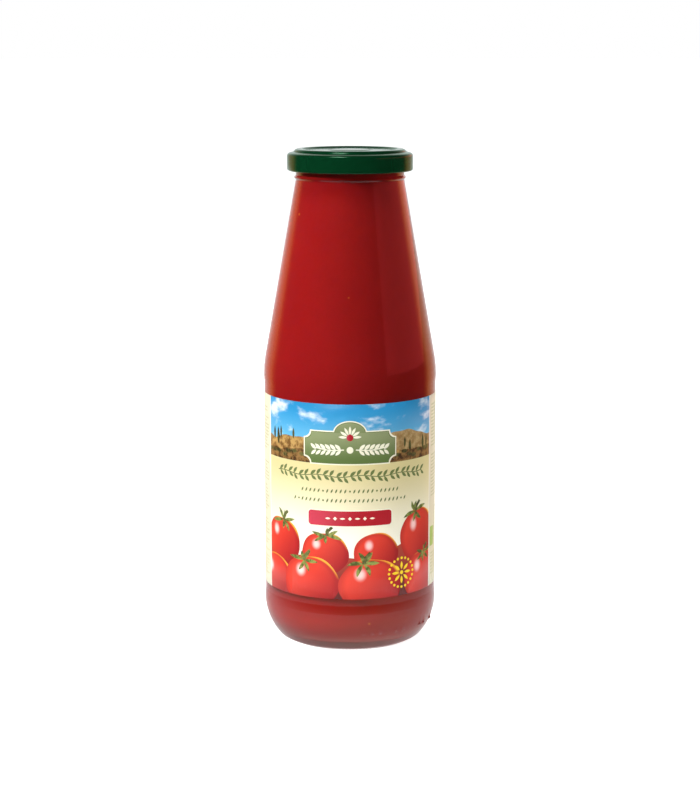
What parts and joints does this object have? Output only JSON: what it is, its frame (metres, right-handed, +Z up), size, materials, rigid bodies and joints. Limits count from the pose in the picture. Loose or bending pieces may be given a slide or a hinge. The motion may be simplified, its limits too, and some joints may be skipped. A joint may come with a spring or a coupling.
{
  "type": "passata bottle",
  "caption": "Tapered clear glass bottle filled with tomato passata, with a wrap-around paper label and a green twist-off lid.",
  "frame": {"origin": "centre of the base, on the plane that the bottle stands on", "axes": "+Z up along the bottle's axis, -Y towards the label's front, +X to the viewer's right"},
  "size_m": [0.0778, 0.0778, 0.2218],
  "materials": {
    "bottle_glass": "clear flint glass",
    "passata": "smooth sieved tomato, seen through glass",
    "lid": "gloss dark green enamel",
    "label": "printed, lightly varnished paper"
  },
  "bodies": {
    "root": {"bottle_glass": "bottle_glass", "passata": "passata", "lid": "lid", "label": "label"}
  },
  "joints": []
}
